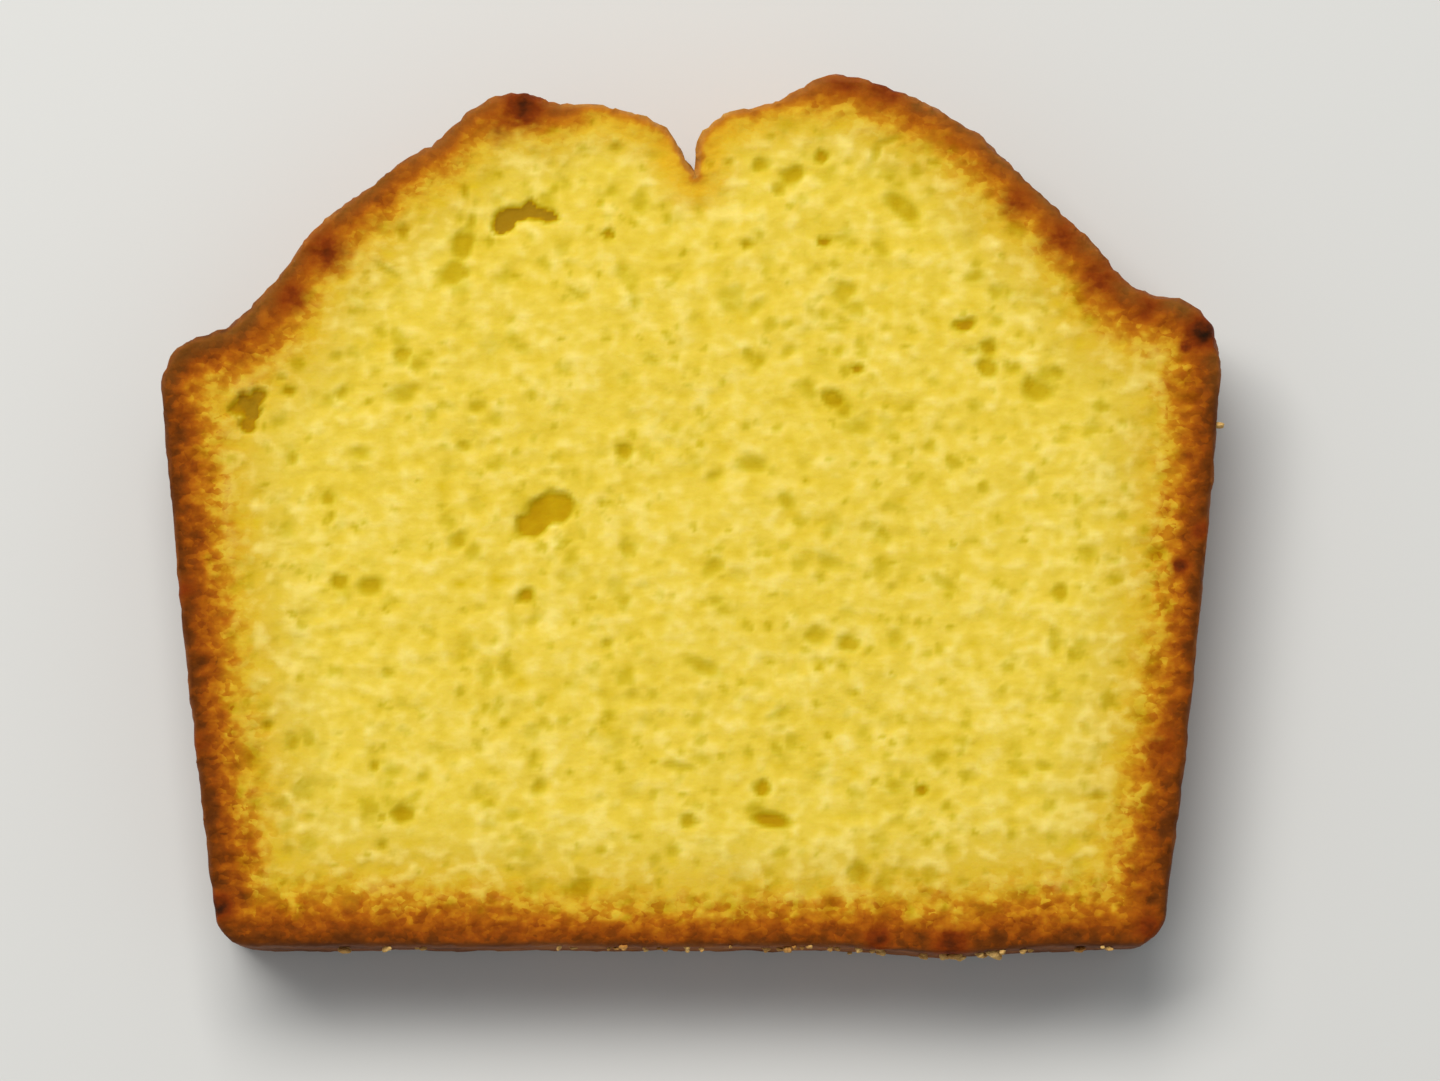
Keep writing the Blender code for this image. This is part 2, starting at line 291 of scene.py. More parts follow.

# %% [markdown]
# ## Air pockets with torn rims
#
# Every pore is a dent in a cut face: deepest in its middle, with a soft side. Its outline is made
# ragged by measuring the distance from its middle in coordinates that noise has bent a little. The
# larger ones have their places on the slice, and the deepest are the same ones that the plain
# solid has. Some look darker than others, so each has a tone as well, which sets how much shade is
# painted into its hollow, and a faint pore has the softer rim.

# %% The named pockets
POCKETS = (
    # middle x, middle y, length, width and depth in millimetres, turn from X in degrees, tone of the
    # painted shade
    (-14.4, 0.5, 4.4, 4.2, 1.2, 10, 0.92),
    (-16.5, -1.1, 3.4, 3.3, 1.2, 70, 0.95),
    (-15.5, 0.1, 4.0, 3.6, 1.2, 45, 0.93),
    (-19.6, 30.4, 2.9, 2.7, 1.3, 10, 1.15),
    (-18.4, 31.3, 4.4, 1.9, 1.2, 12, 1.15),
    (-16.8, 31.9, 2.3, 1.8, 1.2, 65, 1.15),
    (-16.0, 31.3, 4.4, 1.8, 1.2, -6, 1.15),
    (-15.0, 31.1, 2.6, 1.7, 1.2, -20, 1.15),
    (-45.2, 12.1, 2.6, 1.9, 1.6, 40, 1.1),
    (-46.3, 11.6, 2.8, 2.1, 1.6, 0, 1.12),
    (-45.6, 10.7, 3.0, 2.4, 1.9, 80, 1.15),
    (-46.2, 9.2, 2.2, 2.0, 1.4, 60, 1.05),
    (-47.2, 10.9, 2.2, 1.9, 1.2, 5, 1.0),
    (-41.8, 12.7, 1.6, 1.1, 0.7, 0, 0.9),
    (-42.6, 14.2, 1.2, 0.9, 0.5, 0, 0.65),
    (-30.1, 16.4, 1.9, 2.1, 0.7, 0, 0.75),
    (-32.3, 18.8, 1.5, 1.0, 0.4, -50, 0.55),
    (-36.4, 12.5, 1.6, 1.2, 0.6, 40, 0.75),
    (-30.1, 12.3, 3.2, 2.0, 0.5, 20, 0.55),
    (-36.9, 16.3, 1.4, 1.1, 0.4, 20, 0.55),
    (-30.0, 29.4, 1.4, 1.7, 0.6, 0, 0.75),
    (-31.7, 25.4, 3.2, 0.8, 0.4, -33, 0.5),
    (-23.8, 28.0, 2.4, 3.6, 0.7, -12, 0.82),
    (-24.7, 25.2, 3.4, 2.8, 0.6, 20, 0.72),
    (-22.9, 30.3, 1.0, 1.9, 0.4, -10, 0.72),
    (-23.6, 33.6, 1.7, 0.9, 0.4, -70, 0.8),
    (-17.8, 17.2, 2.1, 1.1, 0.5, -20, 0.6),
    (-22.1, 11.1, 1.9, 1.4, 0.5, 0, 0.65),
    (-27.1, 10.2, 1.4, 1.7, 0.4, 0, 0.5),
    (-23.7, 7.0, 1.6, 1.2, 0.5, 0, 0.7),
    (-34.2, 6.2, 2.5, 1.6, 0.5, 0, 0.55),
    (-41.4, 5.7, 1.4, 1.4, 0.4, 0, 0.75),
    (-7.8, 38.3, 1.4, 1.3, 0.5, 0, 0.7),
    (-5.3, 32.4, 1.8, 2.8, 0.4, -10, 0.5),
    (-8.6, 29.2, 1.4, 1.2, 0.6, 0, 1.0),
    (-7.2, 25.4, 1.6, 1.5, 0.5, 0, 0.6),
    (-12.0, 22.9, 2.4, 1.0, 0.5, -35, 0.65),
    (-5.8, 22.0, 1.2, 1.3, 0.5, 0, 0.7),
    (5.8, 28.1, 1.3, 1.3, 0.6, 0, 0.85),
    (4.0, 22.3, 3.2, 3.2, 0.4, 0, 0.45),
    (6.7, 21.5, 2.6, 1.3, 0.4, 35, 0.5),
    (10.1, 16.9, 1.9, 1.1, 0.4, 30, 0.55),
    (6.0, 16.4, 1.6, 1.2, 0.5, -30, 0.65),
    (10.4, 35.2, 3.2, 2.1, 0.8, 30, 0.8),
    (9.2, 33.9, 1.7, 1.4, 0.6, 40, 0.8),
    (7.4, 36.5, 1.9, 1.6, 0.7, 20, 0.75),
    (3.9, 36.7, 1.2, 0.9, 0.5, 0, 0.65),
    (13.6, 37.2, 1.9, 1.6, 0.7, 45, 0.95),
    (19.3, 37.8, 0.9, 2.6, 0.5, -20, 0.65),
    (20.7, 39.0, 2.8, 0.8, 0.5, 15, 0.7),
    (22.0, 31.8, 4.7, 2.1, 0.8, -40, 0.75),
    (13.8, 28.4, 1.6, 1.2, 0.6, 0, 1.0),
    (15.6, 28.8, 2.3, 1.1, 0.4, 10, 0.5),
    (19.7, 27.6, 2.1, 1.4, 0.4, -60, 0.5),
    (15.9, 23.1, 2.8, 2.5, 0.5, 20, 0.65),
    (17.3, 15.0, 1.7, 1.2, 0.7, 0, 1.0),
    (14.9, 11.9, 2.8, 2.1, 0.8, -45, 0.85),
    (15.9, 10.8, 1.8, 1.7, 0.5, 0, 0.7),
    (17.2, 9.0, 3.4, 2.0, 0.4, -10, 0.45),
    (28.5, 19.6, 2.8, 1.6, 0.8, 20, 1.0),
    (30.9, 17.4, 2.1, 1.8, 0.7, 60, 0.85),
    (29.4, 16.9, 1.8, 0.9, 0.5, 0, 0.65),
    (31.0, 15.1, 2.9, 1.9, 0.7, -35, 0.85),
    (36.0, 12.8, 3.3, 2.6, 0.7, 0, 0.7),
    (35.1, 13.4, 1.5, 1.8, 0.7, 0, 0.85),
    (38.0, 14.5, 1.7, 1.5, 0.5, 30, 0.65),
    (29.6, 24.7, 2.1, 1.2, 0.4, 0, 0.65),
    (6.2, 5.0, 3.5, 1.9, 0.7, 0, 0.62),
    (2.4, 3.9, 1.8, 1.1, 0.5, 15, 0.6),
    (-6.9, 6.4, 1.8, 2.1, 0.7, 20, 0.8),
    (-6.6, -3.7, 1.9, 2.0, 0.6, 0, 0.65),
    (-9.1, 0.9, 1.1, 1.0, 0.5, 0, 0.65),
    (9.9, 1.2, 2.0, 1.6, 0.5, -30, 0.65),
    (2.3, -5.7, 2.4, 1.5, 0.5, 40, 0.65),
    (2.6, -9.2, 1.6, 1.2, 0.5, 0, 0.65),
    (14.3, -5.1, 3.1, 1.6, 0.5, -30, 0.5),
    (-24.2, -2.8, 2.2, 1.9, 0.7, 10, 0.8),
    (-37.7, 1.5, 1.5, 1.5, 0.5, 0, 0.8),
    (-17.1, -8.6, 2.3, 1.6, 0.8, 30, 0.95),
    (-36.5, -7.2, 2.1, 2.2, 0.7, 0, 0.8),
    (-33.3, -7.5, 3.0, 2.1, 0.7, 5, 0.8),
    (-31.5, -16.7, 1.6, 1.1, 0.5, 0, 0.7),
    (-21.2, -16.9, 1.9, 2.4, 0.4, 0, 0.55),
    (-19.2, -16.2, 1.8, 2.2, 0.4, 0, 0.6),
    (-8.7, -13.6, 1.2, 1.1, 0.5, 0, 0.75),
    (1.2, -16.0, 4.4, 1.8, 0.6, -22, 0.65),
    (12.8, -12.9, 2.5, 2.0, 0.5, 25, 0.65),
    (16.2, -13.6, 2.6, 2.0, 0.7, 10, 0.8),
    (21.2, -13.0, 1.9, 2.4, 0.4, 0, 0.5),
    (38.3, -8.3, 2.0, 2.1, 0.6, 0, 0.75),
    (48.2, -4.3, 2.4, 1.5, 0.7, 5, 0.8),
    (26.2, -7.3, 3.0, 1.4, 0.5, -30, 0.55),
    (37.7, -13.3, 1.4, 2.4, 0.5, 0, 0.65),
    (-43.9, -22.1, 1.2, 1.1, 0.6, 0, 0.85),
    (-41.3, -23.8, 1.4, 1.8, 0.5, 0, 0.7),
    (-39.6, -23.5, 1.9, 1.4, 0.5, -65, 0.65),
    (-45.4, -25.3, 2.0, 2.5, 0.6, 0, 0.55),
    (-32.8, -26.3, 1.1, 1.2, 0.6, 0, 0.8),
    (-40.1, -28.9, 2.3, 2.2, 0.4, 0, 0.5),
    (-29.9, -31.3, 2.5, 2.3, 0.8, 0, 0.85),
    (-32.0, -31.6, 1.1, 1.0, 0.5, 0, 0.7),
    (-32.0, -34.4, 1.4, 1.1, 0.5, 0, 0.75),
    (-15.8, -28.5, 1.8, 1.3, 0.5, 60, 0.7),
    (9.2, -21.0, 2.4, 1.2, 0.5, 25, 0.6),
    (7.4, -28.7, 2.5, 1.9, 0.8, 0, 0.92),
    (8.4, -31.9, 4.1, 1.9, 0.8, -10, 0.97),
    (-0.2, -32.0, 2.1, 1.6, 0.6, -10, 0.8),
    (-1.2, -26.4, 3.2, 1.1, 0.4, -10, 0.55),
    (17.3, -37.4, 2.5, 2.3, 0.6, 0, 0.75),
    (-11.4, -38.9, 2.9, 2.1, 0.6, 20, 0.75),
    (23.9, -28.8, 1.7, 1.3, 0.6, 20, 1.0),
    (36.6, -26.4, 1.9, 1.1, 0.5, 0, 0.6),
    (42.1, -29.4, 2.1, 1.1, 0.5, 0, 0.65),
)
POCKET_RAGGED = 0.36
STEADY_LENGTH = 3.2
FINE_RAGGED = 0.6
RAGGED_WIDTH = 0.45
OTHER_NOISE = Vector((7.3, 3.1, 5.7))
HALF_WAY = 0.9
RIM_WIDTH = 0.58 * MM
SHALLOW_SOFTER = 2.2
SOFTEST_RIM = 1.4
POCKET_SHALLOWNESS = 0.55
# How much shade is painted into each pocket of the hidden face.
HIDDEN_POCKET_SHADE = 0.85


def cut_face(corners):
    """A cut face: its corners, a tree that finds them by place, and room for what pores do."""
    places = [(corner.co.x, corner.co.y, 0) for corner in corners]
    empty = [0.0] * len(corners)
    return {"corners": corners, "tree": tree_of(places), "sink": empty, "shade_tone": list(empty)}


def dent(x, y, middle_x, middle_y, length, width, turn, ragged, rim_width):
    """How deep a point is inside a pore's outline, from 0 at the rim to 1 in the middle."""
    away_x = x - middle_x
    away_y = y - middle_y
    along = away_x * math.cos(turn) + away_y * math.sin(turn)
    across = away_y * math.cos(turn) - away_x * math.sin(turn)
    spot = Vector((x, y, middle_x)) / (length * RAGGED_WIDTH)
    bend_along = noise.noise(spot) * ragged
    bend_across = noise.noise(spot + OTHER_NOISE) * ragged
    far = math.hypot(along / (length / 2) + bend_along, across / (width / 2) + bend_across)
    rim = min(rim_width / (min(length, width) / 2), SOFTEST_RIM)
    return 1 - smooth_step(HALF_WAY - rim / 2, HALF_WAY + rim / 2, far)


def press_pore(face, x, y, length, width, depth, turn, shade_tone, ragged):
    """Sinks a cut face by one pore. Pores that meet keep the deeper of the two."""
    reach = max(length, width) / 2 * (HALF_WAY + SOFTEST_RIM / 2 + ragged)
    rim_width = RIM_WIDTH * (1 + SHALLOW_SOFTER * (1 - min(shade_tone, 1)))
    for place, i, _ in face["tree"].find_range((x, y, 0), reach):
        share = dent(place.x, place.y, x, y, length, width, turn, ragged, rim_width)
        face["sink"][i] = max(face["sink"][i], share * depth * POCKET_SHALLOWNESS)
        # The tone says how much shade is painted into the pore there.
        face["shade_tone"][i] = max(face["shade_tone"][i], share * shade_tone)


flat_corners = [v for v in mesh.verts if not on_wall(v)]
upper_face = cut_face([v for v in flat_corners if v.co.z > top_z - UPPER_BAND])
lower_face = cut_face([v for v in flat_corners if v.co.z < cad_low.z + UPPER_BAND])
for x, y, length, width, depth, turn, shade_tone in POCKETS:
    sizes = (length * MM, width * MM, depth * MM)
    ragged = POCKET_RAGGED / max(length / STEADY_LENGTH, 1)
    press_pore(upper_face, x * MM, y * MM, *sizes, math.radians(turn), shade_tone, ragged)
for x, y, length, width, depth, turn in hidden_pockets:
    ragged = POCKET_RAGGED / max(length / MM / STEADY_LENGTH, 1)
    press_pore(lower_face, x, y, length, width, depth, turn, HIDDEN_POCKET_SHADE, ragged)
print(len(POCKETS), "pockets pressed into", len(upper_face["corners"]), "corners of the cut face")

# %% [markdown]
# ## The fine pores
#
# Between the pockets the crumb is full of pores of one or two millimetres. There are far more
# small ones than large ones, most are a little longer than wide, they lie in loose groups, and
# many are so shallow that they hardly show. A seeded random draw scatters them, so the slice is
# the same each time it is made. The hidden cut face gets its own, and a few larger ones.

# %% Scatter the fine pores
PORE_LENGTH = (0.85 * MM, 2.3 * MM)
PORE_SLIMNESS = (0.5, 1.0)
PORE_STEEPNESS = (0.07, 0.18)
# How much shade is painted into a fine pore, from least to most.
FINE_PORE_SHADE = (0.1, 0.62)
GROUP_WIDTH = 9 * MM
CRUST_KEEPS_FREE = 0.2
MOSTLY_SMALL = 3
MOSTLY_FAINT = 1.3
TURN_SPREAD = 0.7
OUTSIDE_GROUPS = 0.25
GROUP_NOISE = 3 * MM
SHOWN_PORES = 1500
HIDDEN_PORES = 900
HIDDEN_LARGEST = 3.4 * MM
PORE_SEED = 5

chance = random.Random(PORE_SEED)


def scatter_pores(face, count, largest):
    """Presses a number of fine pores into the crumb of one cut face."""
    pressed = 0
    while pressed < count:
        x = chance.uniform(cad_low.x, cad_high.x)
        y = chance.uniform(cad_low.y, cad_high.y)
        _, near, gap = face["tree"].find((x, y, 0))
        grouping = noise.noise(Vector((x, y, GROUP_NOISE)) / GROUP_WIDTH) * 0.5 + 0.5
        length = PORE_LENGTH[0] + (largest - PORE_LENGTH[0]) * chance.random() ** MOSTLY_SMALL
        width = length * chance.uniform(*PORE_SLIMNESS)
        depth = length * chance.uniform(*PORE_STEEPNESS)
        shade_tone = FINE_PORE_SHADE[0] + (FINE_PORE_SHADE[1] - FINE_PORE_SHADE[0]) * chance.random() ** MOSTLY_FAINT
        turn = chance.gauss(0, TURN_SPREAD)
        grouped = chance.random() < OUTSIDE_GROUPS + grouping
        in_crumb = gap < MM and face["corners"][near][depth_layer] > CRUST_KEEPS_FREE
        if in_crumb and grouped:
            press_pore(face, x, y, length, width, depth, turn, shade_tone, FINE_RAGGED)
            pressed += 1


scatter_pores(upper_face, SHOWN_PORES, PORE_LENGTH[1])
scatter_pores(lower_face, HIDDEN_PORES, HIDDEN_LARGEST)
print("the deepest pore on the hidden face is", round(max(lower_face["sink"]) / MM, 2), "mm")

# %% [markdown]
# ## The crumb's own relief
#
# A cut crumb isn't flat between its pores. It has a slow unevenness from the knife, soft lumps
# where the crumb sprang back, and grains of half a millimetre or so that are rougher in the dry
# crust than in the moist middle. Each is a layer of noise with its own width and height. The two
# finer layers are kept as an attribute too, which paints light on the top of a lump and shade in
# the dip beside it.

# %% Shape both cut faces
WAVES = (
    # width and height of the slow layers, in millimetres
    (16.0, 0.2),
    (4.6, 0.18),
)
LUMP = (1.9, 0.15)
GRAIN = (0.95, 0.066)
KNIFE_DRAG = (5.0, 1.2, 0.03)
WAVES_NOISE = 1.7
LUMP_NOISE = 5.1
GRAIN_NOISE = 8.3
DRAG_NOISE = 2.2
STRETCH = 1.25
CRUST_ROUGHER = 1.3
RIM_FREE = 0.04
DRY_CRUMB = (0.1, 0.5)
RIM_RELIEF = 0.35
SHOWN_RELIEF = 1.0
HIDDEN_RELIEF = 0.7
# How strongly the lumps and grains paint light and shade into the crumb's colour.
LUMP_SHADE = 1.1
GRAIN_SHADE = 0.9


def layer(x, y, width, shift):
    """One layer of noise whose lumps are a little longer along X than along Y."""
    return noise.noise(Vector((x / MM / width, y * STRETCH / MM / width, shift)))


def shape_face(face, rest_z, upward, strength, inward_only):
    """Moves a cut face's corners by its relief and its pores, and keeps their attributes."""
    for i, corner in enumerate(face["corners"]):
        x, y = corner.co.x, corner.co.y
        inward = smooth_step(0, RIM_FREE, corner[depth_layer])
        dryness = 1 + CRUST_ROUGHER * (1 - smooth_step(*DRY_CRUMB, corner[depth_layer]))
        slow = sum(layer(x, y, width, WAVES_NOISE) * height for width, height in WAVES)
        lump = layer(x, y, LUMP[0], LUMP_NOISE)
        grain = layer(x, y, GRAIN[0], GRAIN_NOISE)
        drag_x, drag_y, drag_height = KNIFE_DRAG
        drag = noise.noise(Vector((x / MM / drag_x, y / MM / drag_y, DRAG_NOISE)))
        rise = slow + (lump * LUMP[1] + grain * GRAIN[1]) * dryness + drag * drag_height
        rise *= strength * (RIM_RELIEF + (1 - RIM_RELIEF) * inward) * MM
        if inward_only:
            rise = min(rise, 0)
        corner.co.z = rest_z + upward * (rise - face["sink"][i] * inward)
        # The pore attribute holds how much shade is painted into the pore.
        corner[pore_shade_layer] = face["shade_tone"][i]
        # The kept relief paints light on lump tops and shade in the dips between them.
        corner[relief_shade_layer] = lump * LUMP_SHADE + grain * GRAIN_SHADE


shape_face(upper_face, top_z, 1, SHOWN_RELIEF, False)
shape_face(lower_face, cad_low.z, -1, HIDDEN_RELIEF, True)
heights = [v.co.z for v in upper_face["corners"]]
print("the cut face lies between", round(min(heights) / MM, 2), "and", round(max(heights) / MM, 2), "mm")

# %% [markdown]
# ## The skin of the crust
#
# The sides took the tin's shape, with small pits where fat and air lay against it. The dome had
# no tin: it dried in the oven's air and wrinkled, and its cracks run deeper. So noise moves the
# wall along its own normals, gently on the sides and more on the dome. The wrinkles grow away
# from the shown face, which keeps the outline that the knife left there.

# %% Wrinkle the wall
SHOULDER_Y = 14 * MM
DOME_BEGINS = (SHOULDER_Y - 4 * MM, SHOULDER_Y + 6 * MM)
# Each layer of noise has a width and a height in millimetres.
PIT = (1.9, 0.12)
WRINKLE = (3.2, 0.36)
CRACK = (7.0, 0.34)
TEETH = (0.9, 0.12)
DOME_TEETH = 0.2
SIDE_SWELL = 0.14
DOME_SWELL = 0.32
WRINKLES_GROW = 1.4
GROW_DEPTH = 5 * MM
CRACK_NOISE = Vector((9, 0, 0))
# How strongly the wall's raised places and wrinkles paint light and shade into the skin's colour.
PIT_SHADE = 4
WRINKLE_SHADE = 2

mesh.normal_update()
moves = {}
for corner in mesh.verts:
    if not on_wall(corner):
        continue
    dome = smooth_step(*DOME_BEGINS, corner.co.y)
    pit = noise.noise(corner.co / (PIT[0] * MM)) * PIT[1]
    teeth = noise.noise(corner.co / (TEETH[0] * MM)) * (TEETH[1] + DOME_TEETH * dome)
    wrinkle = -abs(noise.noise(corner.co / (WRINKLE[0] * MM))) * WRINKLE[1]
    crack = -abs(noise.noise(corner.co / (CRACK[0] * MM) + CRACK_NOISE)) * CRACK[1]
    growth = 1 + WRINKLES_GROW * smooth_step(0, GROW_DEPTH, top_z - corner.co.z)
    rise = pit + teeth + SIDE_SWELL + ((wrinkle + crack) * growth + DOME_SWELL) * dome
    moves[corner] = Vector((corner.normal.x, corner.normal.y, 0)) * rise * MM
    # The kept relief paints light on the skin's raised places and shade in its wrinkles.
    corner[relief_shade_layer] = (pit + teeth) * PIT_SHADE + wrinkle * WRINKLE_SHADE
for corner, move in moves.items():
    corner.co += move
furthest = max(move.length for move in moves.values())
print(len(moves), "corners of the wall moved, by at most", round(furthest / MM, 2), "mm")

# %% [markdown]
# ## Darker places in the crust
#
# The oven browned the shoulders most, and a few spots almost burnt. Each is a soft round mark
# with a place and a width on the shown face, and it reaches a little way down the wall. The
# hidden face has the same marks a few millimetres along, so that no streak joins the two, and
# only in its crust. They are kept as one more attribute.

# %% Mark the dark places
DARK_MARKS = (
    # x, y, width in millimetres and strength
    (53.4, 18.9, 2.1, 0.95),
    (51.4, 17.4, 0.8, 0.75),
    (53.0, -1.8, 1.1, 0.7),
    (50.8, -5.6, 1.2, 0.7),
    (48.8, -24.3, 2.2, 0.45),
    (16.0, 45.6, 2.6, 0.5),
    (20.5, 44.8, 2.8, 0.55),
    (-17.5, 42.6, 2.8, 0.7),
    (-20.0, 40.4, 2.4, 0.4),
    (-38.0, 27.4, 2.8, 0.55),
    (-41.5, 22.6, 2.0, 0.55),
    (34.0, 32.6, 2.2, 0.45),
    (38.6, 28.8, 2.6, 0.5),
    (42.6, 24.6, 2.6, 0.5),
    (47.5, 21.5, 2.2, 0.45),
    (-48.8, -40.9, 1.6, 0.9),
    (47.3, -43.0, 1.8, 0.6),
    (19.4, -44.2, 1.6, 0.7),
    (26.8, -44.8, 2.2, 0.7),
    (-52.6, -8.0, 1.6, 0.5),
    (-51.0, -24.0, 1.5, 0.4),
)

MARK_TALLNESS = 1.6
HIDDEN_SHIFT = 7.0
HIDDEN_MARKS_END = (0.1, 0.24)


def mark_at(place, below_face, shift):
    """The strongest dark mark at a place, counting how far under a cut face it lies."""
    strongest = 0
    for x, y, width, strength in DARK_MARKS:
        away = Vector((place.x / MM - x - shift, place.y / MM - y, below_face / MM / MARK_TALLNESS))
        strongest = max(strongest, strength * math.exp(-((away.length / width) ** 2)))
    return strongest


for corner in mesh.verts:
    shown = mark_at(corner.co, top_z - corner.co.z, 0)
    hidden = mark_at(corner.co, corner.co.z - cad_low.z, HIDDEN_SHIFT)
    hidden *= 1 - smooth_step(*HIDDEN_MARKS_END, corner[depth_layer])
    corner[dark_layer] = max(shown, hidden)
skin_places = [corner.co.copy() for corner in moves]
skin_normals = [corner.normal.copy() for corner in moves]
skin_tree = tree_of(skin_places)
print(len(DARK_MARKS), "dark marks")

cake = object_from(mesh, "baked_slice")
cake.data.shade_smooth()

# %% [markdown]
# ## A material that knows crust from crumb
#
# One Principled surface covers the whole slice. Its colour comes from a ramp over the depth under
# the crust, and noise shifts the depth before the ramp reads it, so the brown ends in grains and
# not in a clean line. The relief kept with the mesh paints light on raised places and shade in dips.
# Pores are painted deeper and more olive: painted shade in the hollow, and the tint of light that
# passes through the crumb into it. The skin outside has a ramp of its own, pinholes where air lay
# against the tin, painted dark as shade, and on the dome faint cracks between dry scales. A bump
# adds what is too fine for corners.


# %% Short helpers for nodes
def linear(red, green, blue):
    """An 8-bit sRGB colour as the linear one that a shader reads."""
    channels = []
    for value in (red, green, blue):
        share = value / 255
        channels.append(share / 12.92 if share <= 0.04045 else ((share + 0.055) / 1.055) ** 2.4)
    return (*channels, 1.0)


def add_math(tree, operation, first, second):
    """A maths node. Each of its two values is a number or a socket to link."""
    node = tree.nodes.new("ShaderNodeMath")
    node.operation = operation
    for socket, value in zip(node.inputs, (first, second)):
        if isinstance(value, (int, float)):
            socket.default_value = value
        else:
            tree.links.new(value, socket)
    return node.outputs[0]


def add_product(tree, first, second):
    return add_math(tree, "MULTIPLY", first, second)


def add_sum(tree, *terms):
    total = terms[0]
    for term in terms[1:]:
        total = add_math(tree, "ADD", total, term)
    return total


def add_range(tree, value, from_low, from_high, to_low=0.0, to_high=1.0, held=True):
    """The value carried from one range to another, and held at its ends or not."""
    node = tree.nodes.new("ShaderNodeMapRange")
    node.clamp = held
    ends = {"From Min": from_low, "From Max": from_high, "To Min": to_low, "To Max": to_high}
    for name, end in ends.items():
        node.inputs[name].default_value = end
    tree.links.new(value, node.inputs["Value"])
    return node.outputs["Result"]


def add_attribute(tree, name):
    node = tree.nodes.new("ShaderNodeAttribute")
    node.attribute_name = name
    return node.outputs["Fac"]


def add_place(tree):
    """The place on the slice, drawn together along Y so that noise is longer along X."""
    place = tree.nodes.new("ShaderNodeTexCoord")
    stretch = tree.nodes.new("ShaderNodeMapping")
    stretch.inputs["Scale"].default_value = (1.0, STRETCH, 1.0)
    tree.links.new(place.outputs["Object"], stretch.inputs["Vector"])
    return stretch.outputs["Vector"]


def add_dome(tree):
    """From 0 on the sides to 1 above the shoulders, where the tin ended."""
    place = tree.nodes.new("ShaderNodeTexCoord")
    axes = tree.nodes.new("ShaderNodeSeparateXYZ")
    tree.links.new(place.outputs["Object"], axes.inputs["Vector"])
    return add_range(tree, axes.outputs["Y"], *DOME_BEGINS)


def add_ramp(tree, value, stops):
    node = tree.nodes.new("ShaderNodeValToRGB")
    ramp = node.color_ramp
    while len(ramp.elements) < len(stops):
        ramp.elements.new(0.5)
    for element, (place, colour) in zip(ramp.elements, stops):
        element.position = place
        element.color = colour
    tree.links.new(value, node.inputs["Fac"])
    return node.outputs["Color"]


def add_mix(tree, share, first, second, blend="MIX"):
    """Two colours mixed. Each of the three values is a constant or a socket to link."""
    node = tree.nodes.new("ShaderNodeMix")
    node.data_type = "RGBA"
    node.blend_type = blend
    for socket, value in zip((node.inputs[0], node.inputs[6], node.inputs[7]), (share, first, second)):
        if isinstance(value, bpy.types.NodeSocket):
            tree.links.new(value, socket)
        else:
            socket.default_value = value
    return node.outputs[2]


# %% Two node groups: mottled noise and toasted grains
NOISE_MIDDLE = (0.25, 0.75)


def new_group(name, values, results):
    """A node group with its inputs and their values, its outputs, and its two end nodes."""
    group = bpy.data.node_groups.new(name, "ShaderNodeTree")
    for label, value in values.items():
        socket = group.interface.new_socket(name=label, in_out="INPUT", socket_type="NodeSocketFloat")
        socket.default_value = value
    for label in results:
        group.interface.new_socket(name=label, in_out="OUTPUT", socket_type="NodeSocketFloat")
    given = group.nodes.new("NodeGroupInput").outputs
    wanted = group.nodes.new("NodeGroupOutput").inputs
    return group, given, wanted


def make_mottle():
    """A group that gives noise of a width in metres, from -1 to 1 times a strength."""
    group, given, wanted = new_group("mottle", {"Width": MM, "Strength": 1.0, "Detail": 2.0}, ["Value"])
    texture = group.nodes.new("ShaderNodeTexNoise")
    group.links.new(add_place(group), texture.inputs["Vector"])
    group.links.new(add_math(group, "DIVIDE", 1.0, given["Width"]), texture.inputs["Scale"])
    group.links.new(given["Detail"], texture.inputs["Detail"])
    centred = add_range(group, texture.outputs["Fac"], *NOISE_MIDDLE, -1.0, 1.0, held=False)
    group.links.new(add_product(group, centred, given["Strength"]), wanted["Value"])
    return group


def add_vector_math(tree, operation, first):
    """A vector maths node with its first value linked."""
    node = tree.nodes.new("ShaderNodeVectorMath")
    node.operation = operation
    tree.links.new(first, node.inputs[0])
    return node


def make_grains():
    """A group that gives uneven grains of a width, each with its own tone and a round top."""
    group, given, wanted = new_group("grains", {"Width": MM}, ["Tone", "Height"])
    place = add_place(group)
    scale = add_math(group, "DIVIDE", 1.0, given["Width"])
    waver = group.nodes.new("ShaderNodeTexNoise")
    group.links.new(place, waver.inputs["Vector"])
    group.links.new(scale, waver.inputs["Scale"])
    centred = add_vector_math(group, "SUBTRACT", waver.outputs["Color"])
    centred.inputs[1].default_value = (0.5, 0.5, 0.5)
    push = add_vector_math(group, "SCALE", centred.outputs["Vector"])
    group.links.new(given["Width"], push.inputs["Scale"])
    bent = add_vector_math(group, "ADD", place)
    group.links.new(push.outputs["Vector"], bent.inputs[1])
    cells = group.nodes.new("ShaderNodeTexVoronoi")
    group.links.new(bent.outputs["Vector"], cells.inputs["Vector"])
    group.links.new(scale, cells.inputs["Scale"])
    channels = group.nodes.new("ShaderNodeSeparateColor")
    group.links.new(cells.outputs["Color"], channels.inputs["Color"])
    group.links.new(add_range(group, channels.outputs["Red"], 0.0, 1.0, -1.0, 1.0), wanted["Tone"])
    group.links.new(add_math(group, "SUBTRACT", 1.0, cells.outputs["Distance"]), wanted["Height"])
    return group


